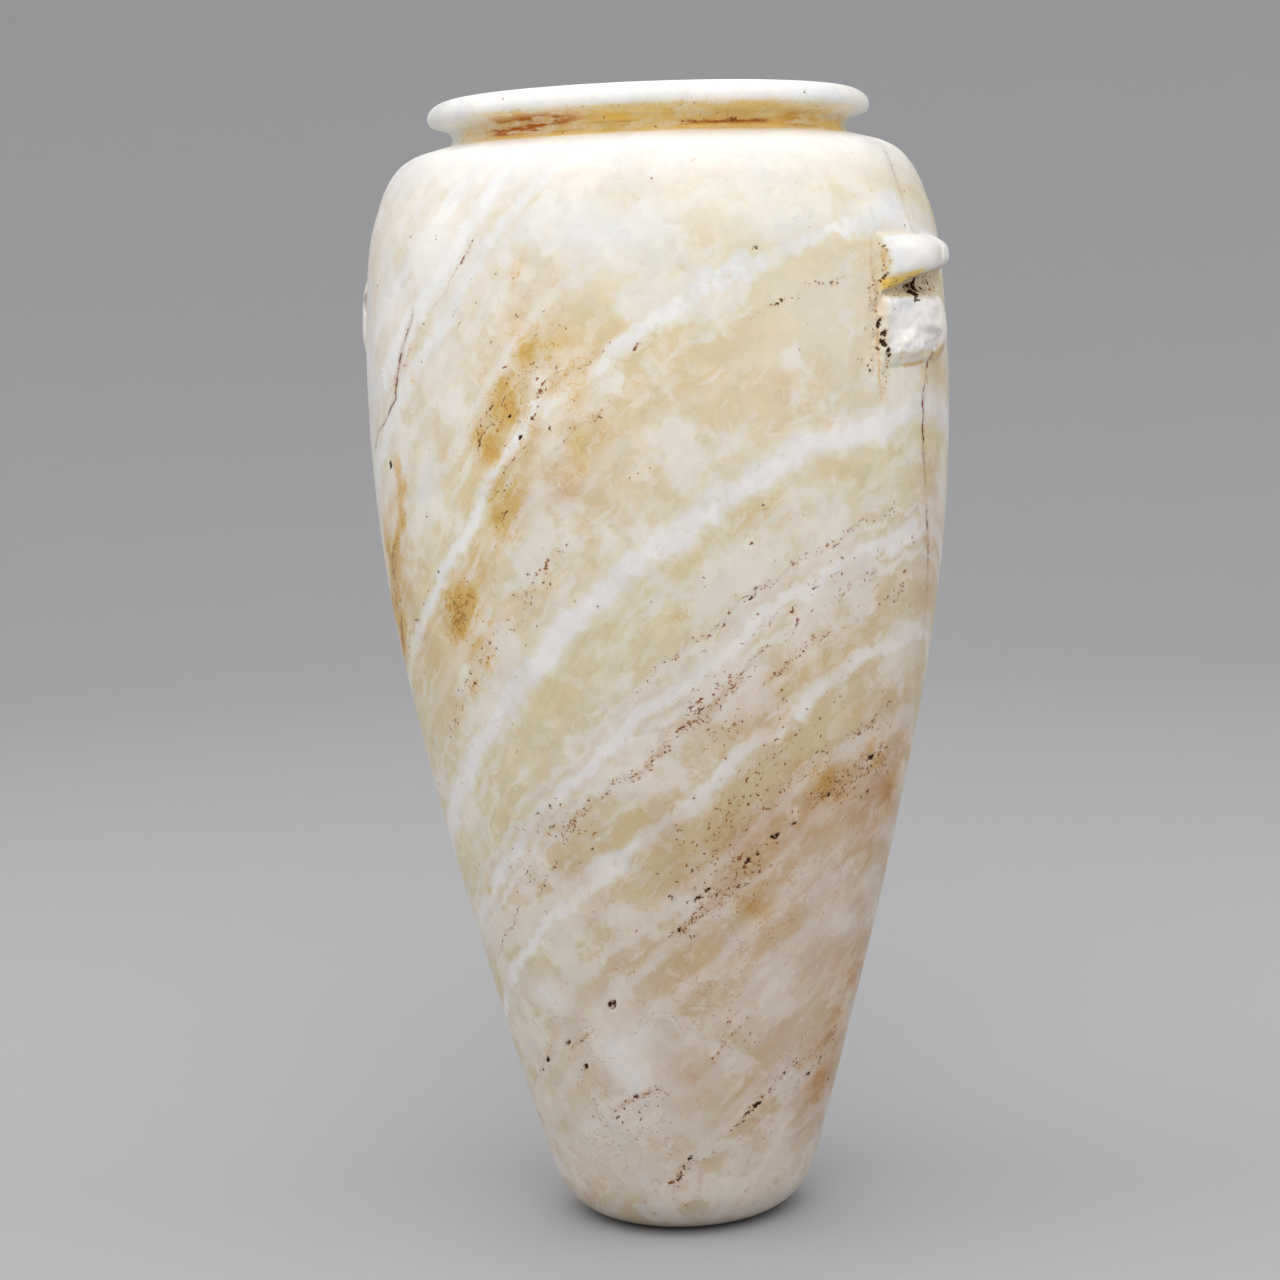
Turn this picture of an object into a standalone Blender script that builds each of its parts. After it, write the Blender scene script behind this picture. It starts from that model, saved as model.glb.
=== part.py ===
"""A lug-handled jar carved from one block of banded calcite-alabaster.

One solid: a tall ovoid vessel, hollow and open at the top, with a rolled lip over a cut neck groove
and two lug handles high on its shoulder. The lug near -X is whole and drilled through. The lug near +X
has lost its outer wall, so its drill hole lies open as a channel between two lobes.

Metres, +Z up. The origin is at the centre of the underside. -Y is the front.
"""

from math import atan2, cos, degrees, pi, radians, sin

import bmesh
import bpy
from mathutils import Matrix, Vector

# Driving dimensions of the vessel
HEIGHT = 0.400
BODY_RADIUS = 0.1027
FOOT_FLAT_RADIUS = 0.026
WALL = 0.013
FLOOR_THICKNESS = 0.030

# Stations of the outer wall between the rounded foot and the top of the shoulder: height and radius,
# as fractions of HEIGHT and BODY_RADIUS
BODY_STATIONS = (
    (0.045, 0.466),
    (0.150, 0.581),
    (0.300, 0.737),
    (0.460, 0.879),
    (0.600, 0.967),
    (0.740, 1.000),
    (0.860, 0.979),
    (0.910, 0.933),
    (0.937, 0.880),
    (0.951, 0.814),
    (0.959, 0.712),
)

# Neck, lip and mouth. The lip is a half-round roll with a flat top.
NECK_RADIUS = 0.0689
NECK_FLARE = 0.0010
NECK_HEIGHT = 0.0050
LIP_RADIUS = 0.0775
LIP_HEIGHT = 0.0105
LIP_WIDEST_BELOW_TOP = 0.0057
LIP_FLAT_RADIUS = 0.0683
MOUTH_FLAT_RADIUS = 0.0590
MOUTH_RADIUS = 0.0545
MOUTH_ROUNDING = 0.0060

# The hollow widens below the throat: height, as a fraction of HEIGHT, and how far past MOUTH_RADIUS
THROAT_STATIONS = ((0.970, 0), (0.953, 0.0030), (0.935, 0.0130))

# Lugs, and the round hole drilled through each along the wall
LUG_HEIGHT = 0.3264
LUG_HALF_WIDTH = 0.0250
LUG_HALF_HEIGHT = 0.0232
LUG_PROTRUSION = 0.0088
LUG_SUNK = 0.0070
LUG_SQUARENESS = 2.9
WHOLE_LUG_TURN = radians(183.0)
BROKEN_LUG_TURN = radians(-4.5)
HOLE_RADIUS = 0.0047
HOLE_HEIGHT = 0.3314
HOLE_SUNK = 0.0005
HOLE_LENGTH = 0.060

# The losses of the broken lug: half sizes (radial, along the wall, vertical), stone left on the wall, height
LOSSES = {
    "channel": ((0.0110, 0.0330, 0.0062), -0.0012, HOLE_HEIGHT),
    "lower_break": ((0.0080, 0.0300, 0.0150), 0.0020, LUG_HEIGHT - 0.0070),
    "lower_scoop": ((0.0060, 0.0170, 0.0095), -0.0005, LUG_HEIGHT - 0.0075),
}

# How finely the round surfaces are cut into facets
SIDES = 64
HOLE_SIDES = 20
LUG_RINGS = 14
LOSS_RINGS = 10


def through(points, per_span):
    """Points on a Catmull-Rom curve that passes through all of points, per_span to each span."""
    ends = [2 * points[0] - points[1]] + list(points) + [2 * points[-1] - points[-2]]
    curve = []
    for a, b, c, d in zip(ends, ends[1:], ends[2:], ends[3:]):
        for step in range(per_span):
            t = step / per_span
            bend = (2 * a - 5 * b + 4 * c - d) * t**2 + (3 * b - a - 3 * c + d) * t**3
            curve.append(b + ((c - a) * t + bend) / 2)
    curve.append(points[-1].copy())
    return curve


def arc(centre, radius_r, radius_z, start, end, steps):
    """Points of an elliptical arc in the profile plane, from angle start to end in degrees."""
    angles = [radians(start + (end - start) * step / steps) for step in range(steps + 1)]
    return [centre + Vector((radius_r * cos(a), radius_z * sin(a))) for a in angles]


def outer_body():
    """The outer wall from the edge of the flat foot up to the top of the shoulder, as (radius, height)."""
    wall = through([Vector((r * BODY_RADIUS, z * HEIGHT)) for z, r in BODY_STATIONS], 2)
    joins_at = wall[0]
    lean = atan2(wall[1].x - joins_at.x, wall[1].y - joins_at.y)
    rise = joins_at.y / (1 - sin(lean))
    width = (joins_at.x - FOOT_FLAT_RADIUS) / cos(lean)
    foot = arc(Vector((FOOT_FLAT_RADIUS, rise)), width, rise, -90, -degrees(lean), 5)
    return foot[:-1] + wall


def neck_and_lip():
    """The groove under the lip and the rolled lip, up to its flat top and in to the mouth."""
    under_lip = HEIGHT - LIP_HEIGHT
    widest = HEIGHT - LIP_WIDEST_BELOW_TOP
    groove = [
        Vector((NECK_RADIUS + NECK_FLARE, under_lip - NECK_HEIGHT)),
        Vector((NECK_RADIUS, under_lip - 0.6 * NECK_HEIGHT)),
        Vector((NECK_RADIUS + NECK_FLARE, under_lip)),
    ]
    roll = Vector((LIP_FLAT_RADIUS, widest))
    lip = arc(roll, LIP_RADIUS - LIP_FLAT_RADIUS, LIP_WIDEST_BELOW_TOP, -25, 90, 7)
    rounding = Vector((MOUTH_FLAT_RADIUS, HEIGHT - MOUTH_ROUNDING))
    mouth = arc(rounding, MOUTH_FLAT_RADIUS - MOUTH_RADIUS, MOUTH_ROUNDING, 90, 180, 4)
    return groove + lip + mouth


def inner_wall():
    """The hollow from the throat of the mouth down to the middle of the floor."""
    throat = [Vector((MOUTH_RADIUS + wider, z * HEIGHT)) for z, wider in THROAT_STATIONS]
    beside_wall = [s for s in BODY_STATIONS[1:] if s[0] < 0.9]
    side = [Vector((r * BODY_RADIUS - WALL, z * HEIGHT - WALL / 2)) for z, r in reversed(beside_wall)]
    lowest = side[-1]
    bowl = arc(Vector((0, lowest.y)), lowest.x, lowest.y - FLOOR_THICKNESS, 0, -90, 5)
    return throat + side + bowl[1:]


def turned(profile, name):
    """A closed solid of revolution about Z from a profile that runs between two points on the axis."""
    mesh = bmesh.new()
    points = [mesh.verts.new((p.x, 0, p.y)) for p in profile]
    edges = [mesh.edges.new(pair) for pair in zip(points, points[1:])]
    bmesh.ops.spin(
        mesh, geom=points + edges, axis=(0, 0, 1), cent=(0, 0, 0), angle=2 * pi, steps=SIDES, use_merge=True
    )
    bmesh.ops.remove_doubles(mesh, verts=mesh.verts, dist=1e-6)
    return as_object(mesh, name)


def as_object(mesh, name):
    """The bmesh as an object in the scene, with its faces pointing out."""
    bmesh.ops.recalc_face_normals(mesh, faces=mesh.faces)
    data = bpy.data.meshes.new(name)
    mesh.to_mesh(data)
    mesh.free()
    thing = bpy.data.objects.new(name, data)
    bpy.context.scene.collection.objects.link(thing)
    return thing


def rounded_block(name, half_sizes, out, height, turn, rings):
    """A block with domed faces, bent round the jar: it is centred at the radius out, in the direction turn.

    It starts as a sphere, whose points are pushed out towards a box. half_sizes are radial, along the wall
    and vertical.
    """
    mesh = bmesh.new()
    bmesh.ops.create_uvsphere(mesh, u_segments=2 * rings, v_segments=rings, radius=1)
    for vert in mesh.verts:
        size = sum(abs(c) ** LUG_SQUARENESS for c in vert.co) ** (1 / LUG_SQUARENESS)
        radial, along, up = [c / size * half for c, half in zip(vert.co, half_sizes)]
        angle = turn + along / LUG_WALL
        vert.co = Vector(((out + radial) * cos(angle), (out + radial) * sin(angle), height + up))
    return as_object(mesh, name)


def rod(name, radius, length):
    """A round rod along Y."""
    mesh = bmesh.new()
    bmesh.ops.create_cone(
        mesh, cap_ends=True, segments=HOLE_SIDES, radius1=radius, radius2=radius, depth=length
    )
    bmesh.ops.rotate(mesh, verts=mesh.verts, cent=(0, 0, 0), matrix=Matrix.Rotation(pi / 2, 3, "X"))
    return as_object(mesh, name)


def combine(target, other, operation):
    """Joins or cuts other with an exact Boolean, and keeps other only as a guide."""
    boolean = target.modifiers.new(f"{operation.lower()} {other.name}", "BOOLEAN")
    boolean.operation = operation
    boolean.solver = "EXACT"
    boolean.object = other
    other.hide_render = True
    other.display_type = "WIRE"


def wall_radius(height):
    """The outer wall's radius at a height on the body."""
    profile = outer_body()
    for low, high in zip(profile, profile[1:]):
        if low.y <= height <= high.y:
            return low.x + (high.x - low.x) * (height - low.y) / (high.y - low.y)
    return 0.0


def add_lug(jar, name, turn):
    """A domed lug, sunk a little into the wall."""
    half_sizes = (LUG_PROTRUSION + LUG_SUNK, LUG_HALF_WIDTH, LUG_HALF_HEIGHT)
    block = rounded_block(f"{name}_block", half_sizes, LUG_WALL - LUG_SUNK, LUG_HEIGHT, turn, LUG_RINGS)
    combine(jar, block, "UNION")


def drill(jar, name, turn):
    """The round hole through a lug, along the wall."""
    hole = rod(f"{name}_hole", HOLE_RADIUS, HOLE_LENGTH)
    out = Matrix.Translation((LUG_WALL - HOLE_SUNK, 0, HOLE_HEIGHT))
    hole.matrix_world = Matrix.Rotation(turn, 4, "Z") @ out
    combine(jar, hole, "DIFFERENCE")


def break_open(jar, turn):
    """The lost outer wall of a lug: its hole lies open, and the lobe below is broken back and scooped out."""
    for name, (half_sizes, stone_left, height) in LOSSES.items():
        out = LUG_WALL + stone_left + half_sizes[0]
        combine(jar, rounded_block(name, half_sizes, out, height, turn, LOSS_RINGS), "DIFFERENCE")


def calcite():
    """Polished, honey and white banded calcite."""
    stone = bpy.data.materials.new("banded_calcite")
    stone.use_nodes = True
    shader = stone.node_tree.nodes["Principled BSDF"]
    shader.inputs["Base Color"].default_value = (0.78, 0.68, 0.54, 1)
    shader.inputs["Roughness"].default_value = 0.32
    shader.inputs["Metallic"].default_value = 0.0
    shader.inputs["Subsurface Weight"].default_value = 0.2
    shader.inputs["Subsurface Radius"].default_value = (0.012, 0.009, 0.006)
    return stone


for thing in list(bpy.data.objects):
    bpy.data.objects.remove(thing)

floor_centre = [Vector((0, 0))]
jar = turned(floor_centre + outer_body() + neck_and_lip() + inner_wall(), "jar")
jar.data.materials.append(calcite())

LUG_WALL = wall_radius(LUG_HEIGHT)
for name, turn in (("whole_lug", WHOLE_LUG_TURN), ("broken_lug", BROKEN_LUG_TURN)):
    add_lug(jar, name, turn)
    drill(jar, name, turn)
break_open(jar, BROKEN_LUG_TURN)
jar.data.shade_smooth()
jar.data.set_sharp_from_angle(angle=radians(40))
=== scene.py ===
"""The looks of the lug-handled jar: one carved piece of banded calcite, with its stage, lights and camera.

Everything is in metres in the CAD frame: +Z up, the origin at the centre of the underside. A bearing is an
angle about the axis in degrees, measured from the jar's face (FACE), and grows to the viewer's right.
"""

from itertools import product
from math import atan, atan2, cos, degrees, pi, radians, sin
from types import SimpleNamespace

import bmesh
import bpy
import numpy as np
from mathutils import Matrix, Vector


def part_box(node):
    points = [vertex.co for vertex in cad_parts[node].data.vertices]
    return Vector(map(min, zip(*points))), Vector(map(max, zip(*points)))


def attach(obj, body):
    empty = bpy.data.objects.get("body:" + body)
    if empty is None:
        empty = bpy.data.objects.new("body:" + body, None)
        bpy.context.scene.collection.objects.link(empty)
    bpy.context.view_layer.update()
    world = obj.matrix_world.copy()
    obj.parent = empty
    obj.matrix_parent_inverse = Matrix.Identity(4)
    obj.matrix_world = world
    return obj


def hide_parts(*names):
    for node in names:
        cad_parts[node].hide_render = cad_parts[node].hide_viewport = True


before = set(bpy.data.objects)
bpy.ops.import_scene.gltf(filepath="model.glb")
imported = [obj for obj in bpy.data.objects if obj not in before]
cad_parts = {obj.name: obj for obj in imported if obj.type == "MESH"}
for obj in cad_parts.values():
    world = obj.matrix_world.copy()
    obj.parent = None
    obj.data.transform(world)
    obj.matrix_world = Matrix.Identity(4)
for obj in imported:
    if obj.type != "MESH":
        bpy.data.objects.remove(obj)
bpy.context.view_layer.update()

# ---- sizes
FAR_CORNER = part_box("jar")[1]
HEIGHT = FAR_CORNER.z
BODY_RADIUS = FAR_CORNER.y
MM = 0.001
FACE = radians(-65)

# The turned profile, as the CAD part has it
FOOT_FLAT_RADIUS = 0.026
WALL = 0.013
FLOOR_THICKNESS = 0.03
NECK_RADIUS = 0.0689
NECK_FLARE = 0.001
NECK_HEIGHT = 0.005
LIP_RADIUS = 0.0775
LIP_HEIGHT = 0.0105
LIP_WIDEST_BELOW_TOP = 0.0057
LIP_FLAT_RADIUS = 0.0683
MOUTH_FLAT_RADIUS = 0.059
MOUTH_RADIUS = 0.0545
MOUTH_ROUNDING = 0.006
BODY_STATIONS = (
    (0.045, 0.466), (0.15, 0.581), (0.3, 0.737), (0.46, 0.879), (0.6, 0.967), (0.74, 1.000),
    (0.86, 0.979), (0.91, 0.933), (0.937, 0.88), (0.951, 0.814), (0.959, 0.712),
)
THROAT_STATIONS = ((0.97, 0), (0.953, 0.003), (0.935, 0.013))
SHOULDER_TOP = BODY_STATIONS[-1][0] * HEIGHT

# The lugs
LUG_HEIGHT = 0.3264
LUG_HALF_WIDTH = 0.025
LUG_HALF_HEIGHT = 0.0232
LUG_PROTRUSION = 0.0088
LUG_SUNK = 0.007
LUG_SQUARENESS = 2.9
LUG_FILLET = 0.0012
WHOLE_LUG_TURN = radians(183.0)
BROKEN_LUG_TURN = radians(-4.5)
HOLE_RADIUS = 0.0047
HOLE_HEIGHT = 0.3314
HOLE_SUNK = 0.0005
HOLE_LENGTH = 0.06
HOLE_SIDES = 48

# Three upright sections through the broken lug, from the wall above it to the wall below: how far each point
# stands out from the wall, and its height, in millimetres. Each is for one place along the wall.
LUG_SECTIONS = {
    -20: (
        (0, 348.6), (0.9, 348.2), (4.2, 346.8), (6.6, 343.8), (7.4, 340), (7.1, 336), (6, 333.8),
        (3.2, 331.2), (-0.6, 329.8), (-1.5, 328.6), (0.4, 326.9), (1.8, 324.6), (1.5, 318), (1.7, 313),
        (2, 310.2), (1, 306.6), (0, 304),
    ),
    -4: (
        (0, 348.2), (1.4, 347.8), (5.6, 346.4), (8.1, 343.8), (8.8, 340.6), (8.3, 337.2), (6.6, 335.2),
        (3.2, 334), (-2.2, 332.8), (-3.4, 330.6), (-1.4, 328.4), (1.8, 326.8), (2, 319), (2.2, 314),
        (2.8, 310.6), (1.7, 307), (0, 304.5),
    ),
    14: (
        (0, 347.4), (1.8, 347), (5.4, 345.8), (7.6, 343.8), (8, 341.4), (7.7, 339.2), (5.8, 337.6),
        (2.4, 337), (-0.8, 335.8), (-1.4, 333), (0.4, 329.4), (2.6, 326.8), (4.1, 321), (4.3, 315),
        (3.6, 311), (1.6, 307.4), (0, 304.5),
    ),
}
LUG_TOP = 348.6
LUG_BOTTOM = 304.2

# Facets of the lower lobe's break: how far out, slant, ends along the wall, ends in height, softness
LUG_FACETS = (
    (1.9, 0.2, -3, 8.2, 315.5, 326, 1.4),
    (-0.5, 0, -20, -6, 315, 324, 1.8),
    (-1.1, -0.2, -3, 8.5, 307.5, 311.5, 1.4),
    (1.1, -0.5, -14.5, -6, 317.5, 321, 1.6),
)

# Pits in the face: bearing (degrees), height, length along the layers, width across them, depth (millimetres)
PITS = (
    (-20, 90, 3.9, 2.8, 1.5), (-64, 276, 3, 2.2, 1), (-38, 74, 4.2, 1.5, 0.8),
    (-50, 65.5, 3.2, 1.7, 0.8), (-33, 65.5, 3, 1.7, 0.8), (5.5, 129, 4.4, 1.7, 1),
    (8, 132, 3, 1.3, 0.8), (17.5, 141, 3.2, 1.9, 0.9), (20, 143, 2, 1.3, 0.7),
    (24.5, 149, 4.6, 2, 1.1), (29, 152.5, 2.5, 1.1, 0.7), (38, 161, 2.5, 1.5, 0.7),
    (51, 171.5, 4.2, 1.7, 1), (52, 159, 1.8, 1.4, 0.6), (27, 50, 3.6, 1.6, 0.8),
    (23.5, 47, 2.2, 1.4, 0.6), (-3, 24, 2.6, 1.6, 0.6), (2, 32, 2.2, 1.2, 0.5), (49, 57, 2.4, 1.4, 0.6),
    (-24, 47, 2.2, 1.2, 0.5), (-16, 56, 2, 1.2, 0.5), (0.5, 118, 1.8, 1.4, 0.5), (19, 344, 1.9, 1.3, 0.5),
    (-28, 293, 1.6, 1, 0.4), (-26, 286, 2.2, 1, 0.4), (148, 240, 3.4, 2, 1),
    (-118, 132, 3, 1.8, 0.9), (172, 88, 3.2, 2.2, 1), (104, 300, 2.4, 1.6, 0.7),
)

# Pits and worn hollows beside and in the broken lug: along the wall, height, length, width, slant, depth
LUG_PITS = (
    (-25.4, 318.4, 4.2, 2.3, 62, 1.2), (-24.2, 315.2, 2.4, 1.5, 40, 0.9),
    (-24.8, 311.8, 3.2, 1.7, -60, 1.1), (-23.2, 309.2, 4.4, 2, -62, 1.3),
    (-26.6, 310.2, 1.8, 1, -60, 0.5), (-3.6, 328.4, 7.4, 4.2, 52, 2.2), (1.6, 330.6, 5.4, 2.8, 60, 1.8),
    (5.4, 329.4, 2.2, 1.2, 50, 0.7), (12, 331.4, 2.2, 1.2, 80, 0.6),
)

# Two cracks that run down the wall: height, bearing, and how plain the crack is there
CRACKS = (
    (
        (380, 63.6, 0.7), (378, 63.2, 0.9), (369, 60.5, 0.9), (354, 60.3, 0.6), (345, 61.5, 0),
        (330, 62.5, 0), (309, 63.4, 0.1), (305, 63.4, 0.8), (298.5, 62.1, 0.9), (292, 61, 0.9),
        (282, 60.6, 0.9), (268, 61.9, 0.9), (258, 63.5, 0.9), (242, 65.7, 0.7), (222.5, 68, 0.4),
        (205, 70, 0),
    ),
    (
        (330, -52, 0), (325, -53.3, 0.8), (312, -57.2, 1.1), (298.4, -59.9, 0.7), (290, -66, 1),
        (288, -69.2, 1), (285, -72, 0.8), (278, -76, 0),
    ),
)


# ---- small tools
def value_noise(points, size, seed):
    """Smooth noise from -1 to 1 at each point, with features about size metres across."""
    cell = points / size
    base = np.floor(cell).astype(np.int64)
    t = cell - base
    t = t**3 * (t * (6 * t - 15) + 10)
    total = np.zeros(len(points))
    for corner in product((0, 1), repeat=3):
        x, y, z = (base + corner).T
        n = (x * 374761393 + y * 668265263 + z * 2147483647 + seed * 1274126177) & 0xFFFFFFFF
        n = ((n ^ (n >> 13)) * 1274126177) & 0xFFFFFFFF
        n = ((n ^ (n >> 16)) & 0xFFFF) / 32767.5 - 1
        total += n * np.prod(np.where(corner, t, 1 - t), axis=1)
    return total


def fractal(points, size, seed, octaves=4):
    """Layers of noise, each half the size and half the strength of the one before."""
    return sum(value_noise(points, size / 2**k, seed + 7 * k) / 2**k for k in range(octaves))


def eased(low, high, x):
    """0 at low, 1 at high, with a smooth rise between them."""
    t = np.clip((x - low) / (high - low), 0, 1)
    return t * t * (3 - 2 * t)


def window(x, rise_from, rise_to, fall_from, fall_to):
    """0 outside, 1 inside, with a soft rise and a soft fall."""
    return eased(rise_from, rise_to, x) * eased(fall_to, fall_from, x)


def ridge(x, width):
    """1 at 0, falling to nearly 0 within about two widths on both sides."""
    return np.exp(-((x / width) ** 2))


def curve_through(points, per_span):
    """Points on a Catmull-Rom curve that passes through all of points, per_span to each span."""
    points = [np.array(p, float) for p in points]
    ends = [2 * points[0] - points[1]] + points + [2 * points[-1] - points[-2]]
    curve = []
    for a, b, c, d in zip(ends, ends[1:], ends[2:], ends[3:]):
        for t in np.arange(per_span) / per_span:
            bend = (2 * a - 5 * b + 4 * c - d) * t**2 + (3 * b - a - 3 * c + d) * t**3
            curve.append(b + ((c - a) * t + bend) / 2)
    return np.array(curve + [points[-1]])


def evenly(points, count):
    """count points at even steps along a line of points, its two ends included."""
    steps = np.linalg.norm(np.diff(points, axis=0), axis=1)
    along = np.concatenate([[0], np.cumsum(steps)])
    at = np.linspace(0, along[-1], count)
    return np.stack([np.interp(at, along, points[:, k]) for k in range(points.shape[1])], axis=1)


def spaced(points, spacing):
    """As evenly, but with points about spacing apart."""
    length = np.linalg.norm(np.diff(points, axis=0), axis=1).sum()
    return evenly(points, max(2, round(length / spacing) + 1))


def arc(centre_r, centre_z, radius_r, radius_z, start, end, steps=24):
    angles = np.radians(np.linspace(start, end, steps + 1))
    return np.stack([centre_r + radius_r * np.cos(angles), centre_z + radius_z * np.sin(angles)], axis=1)


# ---- the turned profile
def outer_wall():
    """From the edge of the flat foot to the top of the shoulder, as (radius, height)."""
    wall = curve_through([(r * BODY_RADIUS, z * HEIGHT) for z, r in BODY_STATIONS], 24)
    start = wall[0]
    lean = atan2(wall[1, 0] - start[0], wall[1, 1] - start[1])
    rise = start[1] / (1 - sin(lean))
    width = (start[0] - FOOT_FLAT_RADIUS) / cos(lean)
    foot = arc(FOOT_FLAT_RADIUS, rise, width, rise, -90, -degrees(lean))
    return np.concatenate([foot[:-1], wall])


def neck_and_lip():
    under_lip = HEIGHT - LIP_HEIGHT
    widest = HEIGHT - LIP_WIDEST_BELOW_TOP
    groove = (
        (NECK_RADIUS + 3 * NECK_FLARE, SHOULDER_TOP + 0.0003),
        (NECK_RADIUS + NECK_FLARE, under_lip - NECK_HEIGHT),
        (NECK_RADIUS, under_lip - 0.6 * NECK_HEIGHT),
        (NECK_RADIUS + NECK_FLARE, under_lip),
    )
    lip = arc(LIP_FLAT_RADIUS, widest, LIP_RADIUS - LIP_FLAT_RADIUS, LIP_WIDEST_BELOW_TOP, -25, 90)
    inwards = MOUTH_FLAT_RADIUS - MOUTH_RADIUS
    mouth = arc(MOUTH_FLAT_RADIUS, HEIGHT - MOUTH_ROUNDING, inwards, MOUTH_ROUNDING, 90, 180)
    return curve_through(groove, 8), np.concatenate([lip, mouth])


def inner_wall():
    throat = [(MOUTH_RADIUS + wider, z * HEIGHT) for z, wider in THROAT_STATIONS]
    beside_wall = [s for s in BODY_STATIONS[1:] if s[0] < 0.9]
    side = [(r * BODY_RADIUS - WALL, z * HEIGHT - WALL / 2) for z, r in reversed(beside_wall)]
    curve = curve_through(throat + side, 10)
    low_r, low_z = side[-1]
    bowl = arc(0, low_z, low_r, low_z - FLOOR_THICKNESS, 0, -90)
    return np.concatenate([curve, bowl[1:]])


WALL_LINE = outer_wall()


def wall_radius(height):
    return np.interp(height, WALL_LINE[:, 1], WALL_LINE[:, 0])


LUG_WALL = float(wall_radius(LUG_HEIGHT))


# ---- the mesh
SIDES = 248
FINE_LEVELS = 2
ROW_SPACINGS = ((0.29, 0.003), (0.362, 0.0022), (HEIGHT, 0.0014))
GROOVE_SPACING = 0.0006
LIP_SPACING = 0.0012
INNER_SPACING = 0.011
ON_WALL_WITHIN = 0.0006
LUG_FINE_HALF_HEIGHT = 0.0265


def rows():
    """(radius, height) of every ring of points, from the underside up, over the lip and down inside."""
    found = [np.array([(FOOT_FLAT_RADIUS * share, 0) for share in (0.25, 0.5, 0.75)])]
    below = -1.0
    for top, spacing in ROW_SPACINGS:
        part = WALL_LINE[(WALL_LINE[:, 1] > below) & (WALL_LINE[:, 1] <= top)]
        found.append(spaced(part, spacing))
        below = top
    groove, lip = neck_and_lip()
    found += [spaced(groove, GROOVE_SPACING), spaced(lip, LIP_SPACING)]
    found.append(spaced(inner_wall(), INNER_SPACING)[:-1])
    return np.concatenate(found)


def turned(profile, sides):
    """A new mesh, with a ring of points for each (radius, height) of a profile, and its rings."""
    mesh = bmesh.new()
    angles = np.arange(sides) / sides * 2 * pi
    rings = [[mesh.verts.new((r * cos(a), r * sin(a), z)) for a in angles] for r, z in profile]
    for below, above in zip(rings, rings[1:]):
        for i in range(sides):
            j = (i + 1) % sides
            mesh.faces.new((below[i], below[j], above[j], above[i]))
    return mesh, rings


def turned_jar():
    """The closed surface of revolution, with one point at each end of its axis."""
    mesh, rings = turned(rows(), SIDES)
    underside = mesh.verts.new((0, 0, 0))
    inside = mesh.verts.new((0, 0, FLOOR_THICKNESS))
    for i in range(SIDES):
        j = (i + 1) % SIDES
        mesh.faces.new((rings[0][j], rings[0][i], underside))
        mesh.faces.new((rings[-1][i], rings[-1][j], inside))
    return mesh


def places(points):
    """The bearing of each point in degrees, its height, and its distance from the axis in millimetres."""
    bearing = np.degrees(np.arctan2(points[:, 1], points[:, 0]) - FACE)
    bearing = (bearing + 180) % 360 - 180
    return bearing, points[:, 2] / MM, np.hypot(points[:, 0], points[:, 1]) / MM


def round_from(at, bearing, radius):
    """How far round the jar points are from the bearing at, in millimetres."""
    return ((bearing - at + 180) % 360 - 180) * np.radians(1) * radius


def on_wall(points):
    """Which points of the turned mesh lie on the outer wall."""
    off = np.abs(np.hypot(points[:, 0], points[:, 1]) - wall_radius(points[:, 2]))
    return (points[:, 2] < SHOULDER_TOP) & (off < ON_WALL_WITHIN)


def along_wall(points, turn):
    """How far round the wall each point is from the direction turn, in metres."""
    angle = np.arctan2(points[:, 1], points[:, 0]) - turn
    return ((angle + pi) % (2 * pi) - pi) * LUG_WALL


def beside_lug(points):
    """How far round the wall a point is from the broken lug's middle, and its height, in millimetres."""
    return along_wall(points, BROKEN_LUG_TURN) / MM, points[:, 2] / MM


def refine(mesh, wanted):
    """Splits each face that wanted() picks into four, FINE_LEVELS times over."""
    for _ in range(FINE_LEVELS):
        centres = np.array([face.calc_center_median() for face in mesh.faces])
        picked = np.nonzero(wanted(centres))[0]
        mesh.faces.ensure_lookup_table()
        edges = {edge for index in picked for edge in mesh.faces[index].edges}
        bmesh.ops.subdivide_edges(mesh, edges=list(edges), cuts=1, use_grid_fill=True)


def near_lug(turn, margin):
    """A test of which points are on or near the lug in the direction turn."""

    def wanted(points):
        beside = np.abs(along_wall(points, turn)) < LUG_HALF_WIDTH + margin
        level = np.abs(points[:, 2] - LUG_HEIGHT) < LUG_FINE_HALF_HEIGHT + margin
        return beside & level & on_wall(points)

    return wanted


# ---- the lugs
def dome(x, y=0):
    """How far out a whole lug's dome is, at shares x and y of its half width and its half height."""
    inside = np.clip(1 - x**LUG_SQUARENESS - y**LUG_SQUARENESS, 0, 1)
    return (LUG_PROTRUSION + LUG_SUNK) * inside ** (1 / LUG_SQUARENESS) - LUG_SUNK


def shape_whole_lug(points):
    """A domed lug that stands out from the wall and runs into it with a small fillet."""
    x = np.abs(along_wall(points, WHOLE_LUG_TURN) / LUG_HALF_WIDTH)
    y = np.abs((points[:, 2] - LUG_HEIGHT) / LUG_HALF_HEIGHT)
    out = dome(x, y)
    rounded = (out + np.sqrt(out**2 + LUG_FILLET**2)) / 2
    on_bare_wall = (np.sqrt(LUG_SUNK**2 + LUG_FILLET**2) - LUG_SUNK) / 2
    return np.where((x < 1.3) & (y < 1.3), rounded - on_bare_wall, 0)


def block(across, up, left, right, low, high, edge):
    """1 inside a soft-edged rectangle and 0 outside it."""
    beside = window(across, left - edge, left + edge, right - edge, right + edge)
    return beside * window(up, low - edge, low + edge, high - edge, high + edge)


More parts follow.
